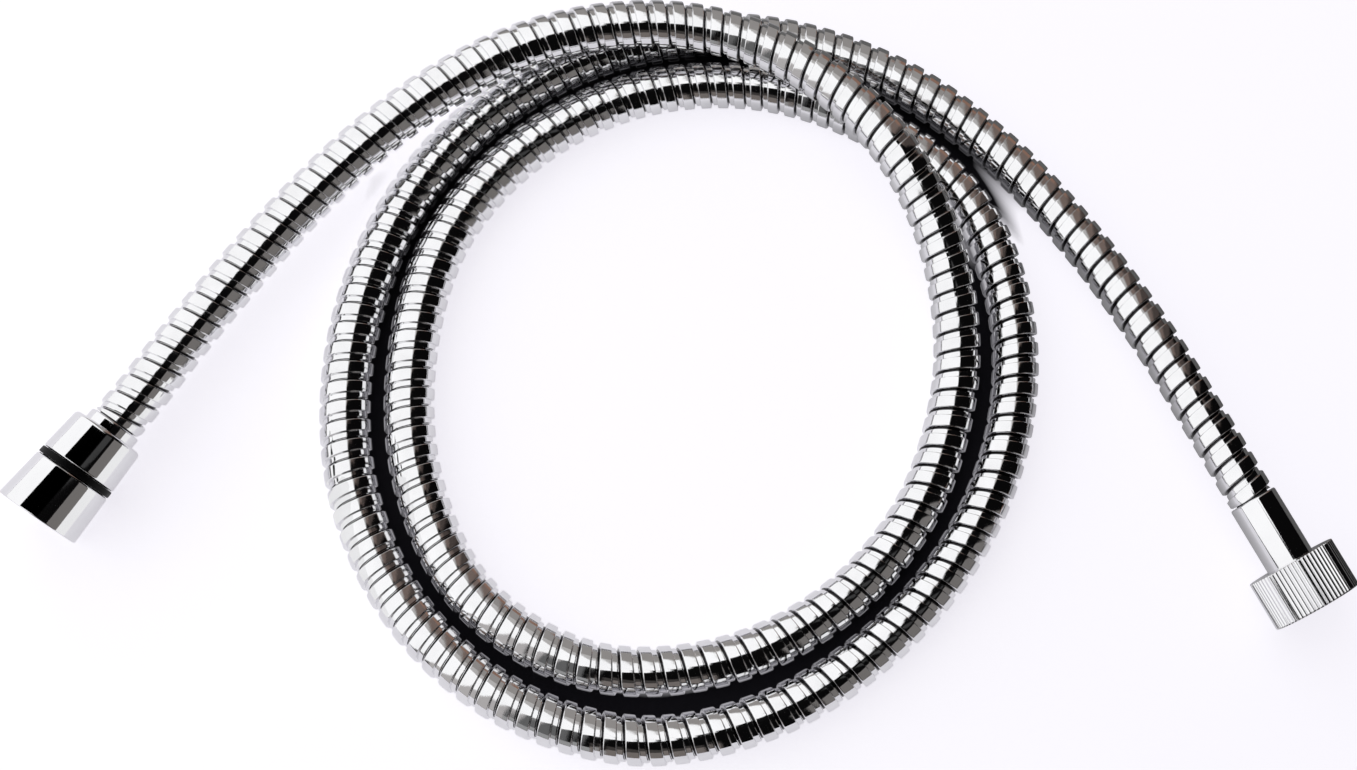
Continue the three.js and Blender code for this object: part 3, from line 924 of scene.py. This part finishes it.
def floor_finish(studio):
    """Pale sheet: lit as a matt sheet, and lifted to white where the camera sees it and, to the south-west,
    where a mirror does, as a painted reflection. Where the hose stands on both sides little light gets in,
    and painted shade keeps it dark, in its colour and in its lift. To the north-east its colour is painted
    darker and the camera's lift is raised. Its glow never counts as a lamp."""
    s = Shader("floor_sheet", studio.floor, 0.0, 0.85)
    s.material.cycles.emission_sampling = "NONE"
    s.set("Specular IOR Level", 0.15)
    path = s.add("ShaderNodeLightPath").outputs
    open_share = s.add("ShaderNodeAttribute", attribute_name="open_sky").outputs["Fac"]
    seen_open = s.spread(open_share, 0.0, 1.0, *OPEN_SKY_SEEN)
    mirrored_open = s.spread(open_share, 0.0, 1.0, *OPEN_SKY_MIRRORED)
    towards = s.add("ShaderNodeVectorMath", {0: s.own_place(), 1: PALE_SIDE}, operation="DOT_PRODUCT")
    side = s.spread(towards.outputs["Value"], 0.0, 1.0, *PALE_SIDE_EDGE)
    # Painted shade: the colour is darker on the far side of the pale side's line.
    side_painted_floor = s.mix(side, darker(studio.floor, FAR_SIDE_PAINTED_SHADE), tuple(studio.floor))
    # Painted shade: the colour goes to FLOOR_IN_SHADE where the open_sky share is low.
    s.link(s.mix(seen_open, FLOOR_IN_SHADE, side_painted_floor), "Base Color")

    # Painted reflection: metal mirrors a lifted floor only on the pale side, and less where the open_sky
    # share is low.
    mirror = s.math("MULTIPLY", path["Is Glossy Ray"], studio.mirror_lift)
    mirror = s.math("MULTIPLY", s.math("MULTIPLY", mirror, side), mirrored_open)
    shown = s.spread(side, studio.lift + FAR_SIDE_MORE, studio.lift, 0.0, 1.0)
    camera = s.math("MULTIPLY", path["Is Camera Ray"], shown)
    # Painted shade: the camera's lift is taken off where the open_sky share is low.
    lift = s.math("ADD", s.math("MULTIPLY", camera, seen_open), mirror)
    glow = s.add("ShaderNodeEmission", {"Color": FLOOR_GLOW, "Strength": lift}).outputs[0]
    both = s.add("ShaderNodeAddShader", {0: s.surface.outputs[0], 1: glow}).outputs[0]
    s.tree.links.new(both, s.tree.nodes["Material Output"].inputs["Surface"])
    return s.material


def glowing(name, glow, brightness):
    """A sheet's finish: black itself, with an even glow."""
    s = Shader(f"{name}_sheet", (0, 0, 0), 0.0, 1.0)
    s.set("Specular IOR Level", 0.0)
    s.set("Emission Color", (*glow, 1.0))
    s.set("Emission Strength", brightness)
    return s.material


def tent_sheet(name, edges, radius, brightness, glow=(1, 1, 1)):
    """One sheet of the light tent: part of a sphere round the hose. Between two rows of its edges they run
    evenly. The camera doesn't see it."""
    compass, top, bottom = np.radians(np.array(edges, float)).T
    turn = np.linspace(compass[0], compass[-1], int(np.degrees(compass[-1] - compass[0]) / TENT_STEP) + 2)
    start, stop = np.interp(turn, compass, top), np.interp(turn, compass, bottom)
    lean = start[:, None] + (stop - start)[:, None] * np.linspace(0, 1, TENT_ROWS)[None]
    points = radius * np.stack([np.sin(lean) * np.cos(turn)[:, None], np.sin(lean) * np.sin(turn)[:, None],
                                np.cos(lean)], -1)
    quads = grid_quads(len(turn), TENT_ROWS, False, False)[:, ::-1]
    sheet = new_piece(name, points, quads.tolist(), glowing(name, glow, brightness))
    sheet.visible_camera = False


def nut_card(name, corners, brightness):
    """A flat card by the conical nut that mirrors see, and neither the camera nor matt surfaces do. A black
    one keeps light off as well."""
    finish = glowing(name, (1, 1, 1), brightness)
    sheet = new_piece(name, np.array(corners), [tuple(range(len(corners)))], finish)
    sheet.visible_camera = False
    sheet.visible_diffuse = False
    sheet.visible_shadow = brightness == 0


def dim_room():
    """A world that lights next to nothing, and is white where the camera looks past the floor."""
    world = bpy.data.worlds.new("room")
    world.use_nodes = True
    tree = world.node_tree
    room = tree.nodes["Background"]
    room.inputs["Color"].default_value = ROOM_COLOUR
    room.inputs["Strength"].default_value = ROOM_STRENGTH
    pale = tree.nodes.new("ShaderNodeBackground")
    pale.inputs["Color"].default_value = (1, 1, 1, 1)
    path = tree.nodes.new("ShaderNodeLightPath")
    both = tree.nodes.new("ShaderNodeMixShader")
    tree.links.new(path.outputs["Is Camera Ray"], both.inputs[0])
    tree.links.new(room.outputs[0], both.inputs[1])
    tree.links.new(pale.outputs[0], both.inputs[2])
    tree.links.new(both.outputs[0], tree.nodes["World Output"].inputs["Surface"])
    return world


class HOSE_OT_studio(bpy.types.Operator):
    """Lays the pale floor, hangs the light tent and sets up the camera"""
    bl_idname = "shower_hose.studio"
    bl_label = "Studio"

    def execute(self, context):
        scene = context.scene
        studio = scene.studio_settings
        scene.view_settings.view_transform = "Standard"
        scene.world = dim_room()
        floor_sheet(floor_finish(studio))
        tent_sheet("softbox", SOFTBOX_EDGES, SOFTBOX_RADIUS, studio.softbox)
        for sheet in TENT_SHEETS:
            tent_sheet(*sheet)
        for card in NUT_CARDS:
            nut_card(*card)

        camera = bpy.data.cameras.new("camera")
        camera.lens = CAMERA_LENS
        camera.sensor_width = CAMERA_SENSOR
        camera.shift_x, camera.shift_y = CAMERA_SHIFT
        camera.clip_start, camera.clip_end = CAMERA_CLIP
        camera_object = bpy.data.objects.new("camera", camera)
        camera_object.location = CAMERA_PLACE
        camera_object.rotation_euler = [math.radians(a) for a in CAMERA_TURN]
        scene.collection.objects.link(camera_object)
        scene.camera = camera_object
        return {"FINISHED"}


class HOSE_PT_panel(bpy.types.Panel):
    """Lists the steps that build the hose and its studio"""
    bl_label = "Shower hose"
    bl_idname = "HOSE_PT_panel"
    bl_space_type = "VIEW_3D"
    bl_region_type = "UI"
    bl_category = "Shower hose"

    def draw(self, context):
        for operator in OPERATORS:
            self.layout.operator(operator.bl_idname)


OPERATORS = (HOSE_OT_studio, HOSE_OT_casing, HOSE_OT_tube, HOSE_OT_ends, HOSE_OT_nuts, HOSE_OT_declare)
GROUPS = {"hose_sizes": HoseSizes, "fitting_sizes": FittingSizes, "hose_colours": HoseColours,
          "studio_settings": StudioSettings}


def register():
    for group in GROUPS.values():
        bpy.utils.register_class(group)
    for operator in OPERATORS:
        bpy.utils.register_class(operator)
    bpy.utils.register_class(HOSE_PT_panel)
    for name, group in GROUPS.items():
        setattr(bpy.types.Scene, name, bpy.props.PointerProperty(type=group))


def unregister():
    for name in GROUPS:
        delattr(bpy.types.Scene, name)
    bpy.utils.unregister_class(HOSE_PT_panel)
    for operator in reversed(OPERATORS):
        bpy.utils.unregister_class(operator)
    for group in reversed(GROUPS.values()):
        bpy.utils.unregister_class(group)


def main():
    register()
    bpy.ops.shower_hose.studio()
    bpy.ops.shower_hose.casing()
    bpy.ops.shower_hose.tube()
    bpy.ops.shower_hose.ends()
    bpy.ops.shower_hose.nuts()
    bpy.ops.shower_hose.declare()


if __name__ == "__main__":
    main()
